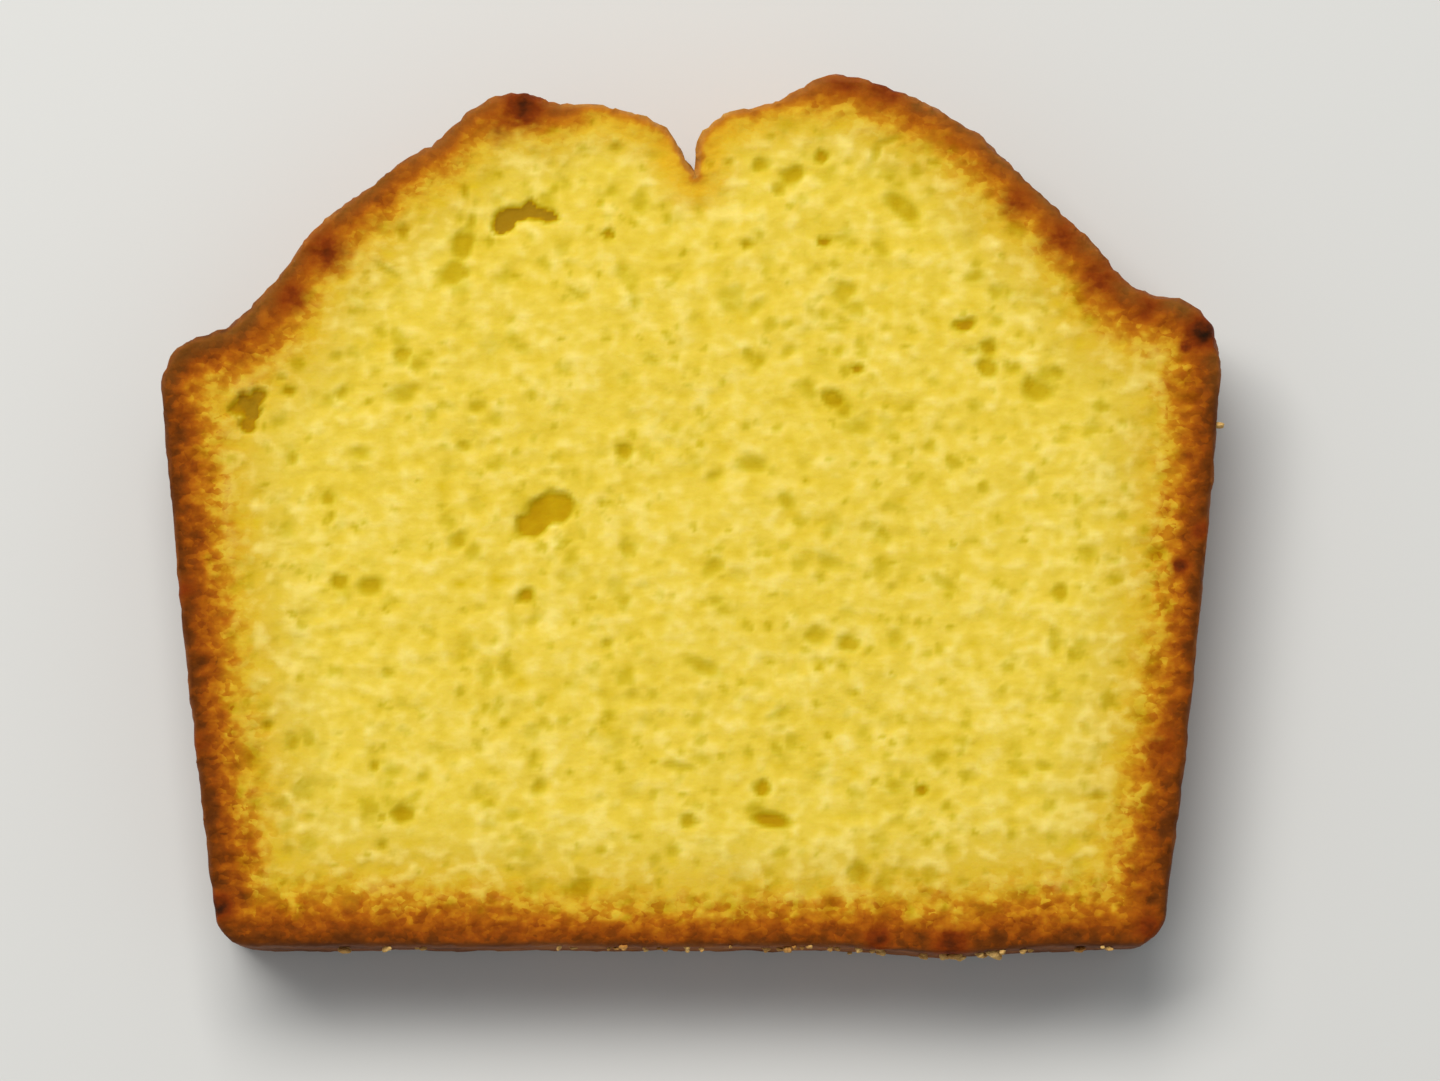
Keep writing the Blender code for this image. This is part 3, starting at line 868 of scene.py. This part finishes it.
mottle_group = make_mottle()
grains_group = make_grains()
print("the groups have", len(mottle_group.nodes), "and", len(grains_group.nodes), "nodes")


def add_mottle(tree, width, strength, detail=2.0):
    node = tree.nodes.new("ShaderNodeGroup")
    node.node_tree = mottle_group
    for name, value in {"Width": width, "Strength": strength, "Detail": detail}.items():
        node.inputs[name].default_value = value
    return node.outputs["Value"]


def add_grains(tree, width):
    node = tree.nodes.new("ShaderNodeGroup")
    node.node_tree = grains_group
    node.inputs["Width"].default_value = width
    return node


# %% The colours of crust and crumb
CRUST_RAMP = (
    # depth under the skin in millimetres, and the colour there
    (0.0, linear(84, 40, 9)),
    (0.6, linear(100, 49, 9)),
    (1.5, linear(140, 68, 9)),
    (2.5, linear(169, 93, 13)),
    (3.6, linear(191, 125, 20)),
    (4.6, linear(208, 160, 37)),
    (5.9, linear(215, 178, 50)),
    (7.8, linear(219, 189, 68)),
    (10.0, linear(224, 197, 74)),
    (12.0, linear(229, 202, 74)),
)
SKIN_RAMP = (
    # how brown the skin is, as a share of the usual
    (0.3, linear(202, 146, 62)),
    (0.62, linear(182, 116, 46)),
    (0.85, linear(158, 94, 38)),
    (1.1, linear(132, 74, 31)),
    (1.35, linear(100, 55, 25)),
)
DARKEST_SHADE = 1.15
PALEST_GRAIN = 0.54
PORE_SHADE_RAMP = (
    # how deep a pore looks, and the painted shade that multiplies the crumb's colour by there
    (0.0, linear(255, 255, 255)),
    (0.35, linear(233, 233, 170)),
    (0.6, linear(220, 213, 106)),
    (0.75, linear(208, 195, 62)),
    (0.85, linear(213, 188, 30)),
    (1.0, linear(206, 173, 26)),
)
SCORCH_RAMP = (
    # how dark a mark is, and the colour there
    (0.0, linear(170, 84, 12)),
    (0.45, linear(128, 52, 8)),
    (0.8, linear(72, 30, 8)),
    (1.0, linear(40, 22, 10)),
)
# The deepest pockets are painted this dark ochre as the shade in their hollows.
HOLLOW_SHADE = linear(158, 120, 16)
GOLD = linear(226, 170, 14)
TAN = linear(196, 138, 54)
# Painted shade inside the skin's pinholes.
PINHOLE_SHADE = linear(70, 36, 16)
CRACK_GOLD = linear(206, 144, 60)
DEEP_YELLOW = linear(214, 183, 28)
PALE_YELLOW = linear(244, 224, 128)

# Where the brown ends. In a range, two numbers say where it starts and ends, and two more say
# what it is worth there. Depths are shares of BAKE_REACH. A noise has a width and a strength.
CALM_MIDDLE = (0.4, 0.8, 1.0, 0.2)
CALM_RIM = (0.03, 0.3, 0.4, 1.3)
CALM_DOME = (0.0, 1.0, 1.0, 0.8)
# How far a lump's painted light and shade shift the crust's depth.
LUMP_SHADE_SHIFT = 0.05
GRAIN_SHIFT = 0.04
FINE_SHIFT = (1.4 * MM, 0.055)
BROAD_SHIFT = (4.0 * MM, 0.045)
PALER_MORE = 0.5
RIM_HOLD = 5.0
LATE_SHARE = (0.42, 1.12, 0.28, 0.0)
LATE_RIM = (0.0, 0.12, 0.25, 1.0)
GOLDEN_SHARE = (0.48, 0.8, 0.6, 0.0)
GOLDEN_HELD = (0.2, 0.75, 1.0, 0.0)
GOLDEN_RIM = (0.08, 0.32, 0.3, 1.0)
TANNED_RIM = (0.04, 0.15, 0.2, 0.0)

# The skin, its scales and its pinholes, in the same forms.
# Painted light and shade from the skin's relief.
SKIN_RELIEF_SHADE = -0.1
SKIN_GRAINS = 0.05
SKIN_DOME = -0.08
SKIN_CLOUDS = (8 * MM, 0.22)
SKIN_SPECKS = (1.3 * MM, 0.14, 3.0)
SCALE_WIDTH = 2.4 * MM
SCALE_EDGE = (0.55, 0.25)
CRACK_PATCHES = (9 * MM, 1.0)
CRACK_STRENGTH = (-0.5, 0.5, 0.4, 1.0)
CRACK_SHARE = 0.13
PINHOLE_EDGE = (0.76, 0.9)
PINHOLE_CHOICE = (0.1, 0.5)
PINHOLE_SHADE_SHARE = 0.55

# The crumb, its patches and the dark marks.
TOASTED_WIDTH = 0.85 * MM
CRUMB_STARTS = (0.2, 0.52)
MOIST_STARTS = (0.33, 0.58)
# Painted light and shade from the crumb's lumps, with noise patches of real tone.
PATCH_LUMP_SHADE = 0.5
PATCH_GRAINS = 0.05
PATCH_CLOUDS = (9 * MM, 0.24)
PATCH_SPOTS = (2.6 * MM, 0.31)
DEEP_SHADE_FROM = 0.9
MARK_EVEN = 0.95
MARK_BLOTCHES = (1.2 * MM, 0.25)
MARK_SHOWS = (0.1, 0.5)

# How rough and how even the surface is.
ROUGHNESS = (0.0, 1.0, 0.88, 0.62)
ROUGH_SPECKS = (0.8 * MM, 0.08)
DRY_GRAINS = (0.15, 0.6, 0.9, 0.15)
SKIN_SMOOTHER = (0.0, 1.0, 1.0, 0.55)
SUNK_HEIGHT = -1.8
BUMP_SPECKS = (0.8 * MM, 0.24)
BUMP_HEIGHT = 0.2 * MM
SKIN_GLOSS = 0.1


def crust_colour(tree, depth, lump, grains):
    """The colour by depth under the skin, with the depth shifted by lumps, grains and noise; the lumps
    paint light and shade.
    """
    near = add_range(tree, depth, *CALM_MIDDLE)
    lumps = add_product(tree, lump, LUMP_SHADE_SHIFT)
    tones = add_product(tree, grains.outputs["Tone"], GRAIN_SHIFT)
    fine = add_mottle(tree, *FINE_SHIFT)
    shifts = add_sum(tree, lumps, tones, fine, add_mottle(tree, *BROAD_SHIFT))
    shifts = add_product(tree, shifts, add_range(tree, depth, *CALM_RIM))
    paler = add_product(tree, add_math(tree, "MAXIMUM", shifts, 0.0), PALER_MORE)
    shifts = add_product(tree, add_sum(tree, shifts, paler), near)
    dome = add_dome(tree)
    shifts = add_product(tree, shifts, add_range(tree, dome, *CALM_DOME))
    held = add_sum(tree, depth, shifts)
    held = add_math(tree, "MINIMUM", held, add_math(tree, "MAXIMUM", depth, PALEST_GRAIN))
    held = add_math(tree, "MINIMUM", held, add_product(tree, depth, RIM_HOLD))
    share = add_attribute(tree, "bake_share")
    late = add_range(tree, share, *LATE_SHARE)
    late = add_product(tree, late, add_range(tree, depth, *LATE_RIM))
    stops = [(place / (BAKE_REACH / MM), colour) for place, colour in CRUST_RAMP]
    colour = add_ramp(tree, add_sum(tree, held, late), stops)
    golden = add_range(tree, share, *GOLDEN_SHARE)
    golden = add_product(tree, golden, add_range(tree, held, *GOLDEN_HELD))
    golden = add_product(tree, golden, add_range(tree, depth, *GOLDEN_RIM))
    colour = add_mix(tree, golden, colour, GOLD)
    tanned = add_product(tree, dome, add_range(tree, depth, *TANNED_RIM))
    return add_mix(tree, tanned, colour, TAN)


def crumb_colour(tree, depth, lump, grains, colour):
    """The crumb's paler and deeper patches laid over a colour, with painted light and shade on its lumps,
    and its pores' painted shade.
    """
    crumb = add_range(tree, depth, *CRUMB_STARTS)
    moist = add_range(tree, depth, *MOIST_STARTS)
    patches_and_shade = add_sum(
        tree,
        add_product(tree, lump, PATCH_LUMP_SHADE),
        add_product(tree, grains.outputs["Tone"], PATCH_GRAINS),
        add_mottle(tree, *PATCH_CLOUDS),
        add_mottle(tree, *PATCH_SPOTS),
    )
    deep = add_product(tree, add_range(tree, patches_and_shade, 0.0, -1.0), crumb)
    pale = add_product(tree, add_range(tree, patches_and_shade, 0.0, 1.0), moist)
    colour = add_mix(tree, deep, colour, DEEP_YELLOW)
    colour = add_mix(tree, pale, colour, PALE_YELLOW)
    pore = add_attribute(tree, "pore")
    pore_shade = add_ramp(tree, add_math(tree, "DIVIDE", pore, DARKEST_SHADE), PORE_SHADE_RAMP)
    colour = add_mix(tree, 1.0, colour, pore_shade, "MULTIPLY")
    return add_mix(tree, add_range(tree, pore, DEEP_SHADE_FROM, DARKEST_SHADE), colour, HOLLOW_SHADE)


def skin_colour(tree, lump, grains):
    """The colour of the baked skin by how brown that stretch of it is, with painted shade in dips and light
    on raised places.
    """
    brown = add_sum(
        tree,
        add_attribute(tree, "bake_share"),
        add_product(tree, lump, SKIN_RELIEF_SHADE),
        add_product(tree, grains.outputs["Tone"], SKIN_GRAINS),
        add_product(tree, add_dome(tree), SKIN_DOME),
        add_mottle(tree, *SKIN_CLOUDS),
        add_mottle(tree, *SKIN_SPECKS),
    )
    low, high = SKIN_RAMP[0][0], SKIN_RAMP[-1][0]
    stops = [((share - low) / (high - low), colour) for share, colour in SKIN_RAMP]
    return add_ramp(tree, add_range(tree, brown, low, high), stops)


def crackle(tree, cells):
    """The cracks between the dried scales of the dome's skin: 0 on a scale and 1 in a crack."""
    cracks = add_range(tree, cells.outputs["Height"], *SCALE_EDGE)
    patchy = add_range(tree, add_mottle(tree, *CRACK_PATCHES), *CRACK_STRENGTH)
    return add_product(tree, add_product(tree, cracks, patchy), add_dome(tree))


def pinholes(tree, cells):
    """Sparse round pits of about a millimetre, from 0 outside them to 1 at their middle."""
    inside = add_range(tree, cells.outputs["Height"], *PINHOLE_EDGE)
    chosen = add_range(tree, cells.outputs["Tone"], *PINHOLE_CHOICE)
    return add_product(tree, inside, chosen)


def marked(tree, colour):
    """A colour with the scorched marks over it, blotched by noise."""
    blotch = add_sum(tree, MARK_EVEN, add_mottle(tree, *MARK_BLOTCHES))
    dark = add_product(tree, add_attribute(tree, "dark"), blotch)
    return add_mix(tree, add_range(tree, dark, *MARK_SHOWS), colour, add_ramp(tree, dark, SCORCH_RAMP))


def add_relief(tree, surface, depth, skin, grains, sunk):
    """Grain tops that stand up where the cake is dry, and the sunk places, as a bump."""
    bump = tree.nodes.new("ShaderNodeBump")
    bump.inputs["Distance"].default_value = BUMP_HEIGHT
    bump.inputs["Strength"].default_value = 0.5
    dry = add_range(tree, depth, *DRY_GRAINS)
    dry = add_product(tree, dry, add_range(tree, skin, *SKIN_SMOOTHER))
    round_tops = add_product(tree, grains.outputs["Height"], dry)
    relief = add_sum(tree, round_tops, add_product(tree, sunk, SUNK_HEIGHT), add_mottle(tree, *BUMP_SPECKS))
    tree.links.new(relief, bump.inputs["Height"])
    tree.links.new(bump.outputs["Normal"], surface.inputs["Normal"])


# %% The cake's material
def make_cake_material():
    material = bpy.data.materials.new("baked_cake")
    material.use_nodes = True
    tree = material.node_tree
    surface = tree.nodes["Principled BSDF"]
    depth = add_attribute(tree, "bake_depth")
    # The lump attribute is kept relief, which paints light on raised places and shade in dips.
    lump = add_attribute(tree, "lump")
    skin = add_attribute(tree, "skin")
    grains = add_grains(tree, TOASTED_WIDTH)
    cells = add_grains(tree, SCALE_WIDTH)
    pits = add_product(tree, pinholes(tree, cells), skin)
    cracks = add_product(tree, crackle(tree, cells), skin)
    colour = crust_colour(tree, depth, lump, grains)
    colour = crumb_colour(tree, depth, lump, grains, colour)
    colour = add_mix(tree, skin, colour, skin_colour(tree, lump, grains))
    # The pinholes are painted dark as shade.
    colour = add_mix(tree, add_product(tree, pits, PINHOLE_SHADE_SHARE), colour, PINHOLE_SHADE)
    colour = add_mix(tree, add_product(tree, cracks, CRACK_SHARE), colour, CRACK_GOLD)
    tree.links.new(marked(tree, colour), surface.inputs["Base Color"])
    roughness = add_sum(tree, add_range(tree, skin, *ROUGHNESS), add_mottle(tree, *ROUGH_SPECKS))
    tree.links.new(roughness, surface.inputs["Roughness"])
    add_relief(tree, surface, depth, skin, grains, add_sum(tree, pits, cracks))
    tree.links.new(add_product(tree, skin, SKIN_GLOSS), surface.inputs["Coat Weight"])
    surface.inputs["Coat Roughness"].default_value = 0.45
    surface.inputs["Specular IOR Level"].default_value = 0.05
    surface.inputs["Subsurface Weight"].default_value = 0.3
    surface.inputs["Subsurface Radius"].default_value = (1.0, 0.7, 0.25)
    surface.inputs["Subsurface Scale"].default_value = 1.4 * MM
    return material


cake.data.materials.append(make_cake_material())
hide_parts("cake_slice")
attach(cake, "root")
print("the cake's material has", len(cake.data.materials[0].node_tree.nodes), "nodes")

# %% [markdown]
# ## Crumbs that stuck to the crust
#
# The knife left crumbs hanging on the base's edge, paler than the crust behind them. Each starts
# as a small ball, which is stretched, turned, made lumpy by noise and sunk a little into the
# skin. They are joined into one piece. The larger ones have their places, and the seeded draw
# adds small ones between them.

# %% Stick crumbs on the crust
NAMED_CRUMBS = (
    # place along the base, height above the hidden face, and width, in millimetres
    (-35.9, 15.4, 1.0),
    (-31.1, 16.8, 0.7),
    (-7.3, 17.2, 0.9),
    (-0.6, 17.0, 0.8),
    (10.0, 16.9, 0.9),
    (17.3, 17.0, 0.7),
    (19.9, 15.2, 1.0),
    (24.2, 15.2, 1.2),
    (26.0, 14.8, 1.1),
    (28.1, 15.0, 1.3),
    (29.8, 15.4, 0.9),
    (31.7, 16.2, 1.3),
    (40.3, 15.6, 1.1),
)
SIDE_CRUMB = (55.3, 9.3, 16.5, 0.9)
SMALL_CRUMBS = 30
SMALL_CRUMB = (0.35, 0.75)
CRUMB_REACH = 44
LOW_CRUMBS = 0.3
LOW_HEIGHTS = (2.0, 17.2)
USUAL_HEIGHTS = (15.6, 17.4)
CRUMB_LUMPS = (0.6, 0.9)
CRUMB_STANDS = 0.22
CRUMB_SHAPE = ((1.0, 1.5), (0.6, 0.9), (0.65, 1.0))
CRUMB_CUTS = 3


def add_crumb(mesh, x, y, z, width):
    """One lumpy crumb on the skin's nearest corner."""
    _, near, _ = skin_tree.find((x * MM, y * MM, z * MM))
    place = skin_places[near] + skin_normals[near] * width * CRUMB_STANDS * MM
    ball = bmesh.ops.create_icosphere(mesh, subdivisions=CRUMB_CUTS, radius=width / 2 * MM)["verts"]
    shape = Vector([chance.uniform(least, most) for least, most in CRUMB_SHAPE])
    turned = Matrix.Rotation(chance.uniform(0, math.pi), 3, "Y")
    lump_width, lump_height = CRUMB_LUMPS
    for corner in ball:
        lumps = noise.noise(corner.co / (width * lump_width * MM) + place / MM)
        corner.co = turned @ (corner.co * shape) * (1 + lump_height * lumps)
        corner.co += place


mesh = bmesh.new()
base_y = cad_low.y / MM
for along, height, width in NAMED_CRUMBS:
    add_crumb(mesh, along, base_y, height, width)
for _ in range(SMALL_CRUMBS):
    along = chance.uniform(-CRUMB_REACH, CRUMB_REACH)
    band = LOW_HEIGHTS if chance.random() < LOW_CRUMBS else USUAL_HEIGHTS
    height = chance.uniform(*band)
    add_crumb(mesh, along, base_y, height, chance.uniform(*SMALL_CRUMB))
add_crumb(mesh, *SIDE_CRUMB)
crumbs = object_from(mesh, "stuck_crumbs")
crumbs.data.shade_smooth()


CRUMB_TAN = linear(184, 120, 48)
CRUMB_CREAM = linear(228, 190, 116)
CRUMB_MIX = (2.5 * MM, 1.0)
CRUMB_SPECKS = (0.3 * MM, 0.6)


def make_crumb_material():
    material = bpy.data.materials.new("pale_crumbs")
    material.use_nodes = True
    tree = material.node_tree
    surface = tree.nodes["Principled BSDF"]
    share = add_range(tree, add_mottle(tree, *CRUMB_MIX), -1.0, 1.0)
    colour = add_mix(tree, share, CRUMB_TAN, CRUMB_CREAM)
    tree.links.new(colour, surface.inputs["Base Color"])
    bump = tree.nodes.new("ShaderNodeBump")
    bump.inputs["Distance"].default_value = 0.1 * MM
    tree.links.new(add_mottle(tree, *CRUMB_SPECKS), bump.inputs["Height"])
    tree.links.new(bump.outputs["Normal"], surface.inputs["Normal"])
    surface.inputs["Roughness"].default_value = 0.85
    surface.inputs["Specular IOR Level"].default_value = 0.2
    return material


crumbs.data.materials.append(make_crumb_material())
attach(crumbs, "root")
print(len(NAMED_CRUMBS) + 1 + SMALL_CRUMBS, "crumbs of", len(crumbs.data.polygons), "faces in all")

# %% [markdown]
# ## The floor, the light and the camera
#
# The slice lies on a plain pale floor. One broad soft light stands high behind the dome and a
# little to the left, so the shadow falls short and soft below the base and slightly to the right.
# The camera looks almost straight down from a long way off.

# %% Floor, light and camera
FLOOR_SIZE = 3.0
CAMERA_AWAY = 0.75
CAMERA_ELEVATION = math.radians(85.3)
AIM = Vector((3.0 * MM, -2.9 * MM, top_z))
VIEW_WIDTH = 149.5 * MM
SENSOR_WIDTH = 36.0
FLOOR_GREY = (0.66, 0.66, 0.64, 1.0)
WINDOW_PLACE = Vector((-0.22, 0.46, 0.95))
WINDOW_SIZE = (0.75, 0.42)
WINDOW_WATTS = 10.4
WINDOW_WHITE = (1.0, 0.98, 0.95)
STUDIO_WHITE = (0.95, 0.98, 1.0, 1.0)
STUDIO_STRENGTH = 0.37

mesh = bmesh.new()
bmesh.ops.create_grid(mesh, x_segments=1, y_segments=1, size=FLOOR_SIZE / 2)
floor = object_from(mesh, "floor")
floor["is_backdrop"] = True
floor_material = bpy.data.materials.new("pale_floor")
floor_material.use_nodes = True
floor_surface = floor_material.node_tree.nodes["Principled BSDF"]
floor_surface.inputs["Base Color"].default_value = FLOOR_GREY
floor_surface.inputs["Roughness"].default_value = 0.7
floor.data.materials.append(floor_material)


def add_window():
    """One broad soft light that looks at the slice's middle."""
    data = bpy.data.lights.new("window", "AREA")
    data.shape = "RECTANGLE"
    data.size, data.size_y = WINDOW_SIZE
    data.energy = WINDOW_WATTS
    data.color = WINDOW_WHITE
    light = bpy.data.objects.new("window", data)
    light.location = WINDOW_PLACE
    light.rotation_euler = (-WINDOW_PLACE).to_track_quat("-Z", "Y").to_euler()
    bpy.context.scene.collection.objects.link(light)


add_window()
world = bpy.data.worlds.new("studio")
world.use_nodes = True
world.node_tree.nodes["Background"].inputs["Color"].default_value = STUDIO_WHITE
world.node_tree.nodes["Background"].inputs["Strength"].default_value = STUDIO_STRENGTH
bpy.context.scene.world = world
bpy.context.scene.view_settings.view_transform = "Standard"

camera_data = bpy.data.cameras.new("camera")
camera_data.sensor_width = SENSOR_WIDTH
camera_data.lens = SENSOR_WIDTH * CAMERA_AWAY / VIEW_WIDTH
camera = bpy.data.objects.new("camera", camera_data)
back = Vector((0, -math.cos(CAMERA_ELEVATION), math.sin(CAMERA_ELEVATION)))
camera.location = AIM + back * CAMERA_AWAY
camera.rotation_euler = (-back).to_track_quat("-Z", "Y").to_euler()
bpy.context.scene.collection.objects.link(camera)
bpy.context.scene.camera = camera
print("the camera's lens is", round(camera_data.lens), "mm")

# %% Gather the sizes and finish
low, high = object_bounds()
sizes = {"cad": [list(cad_low), list(cad_high)], "visual": [list(low), list(high)]}
print("the dressed slice is", [round(side / MM, 1) for side in high - low], "mm")
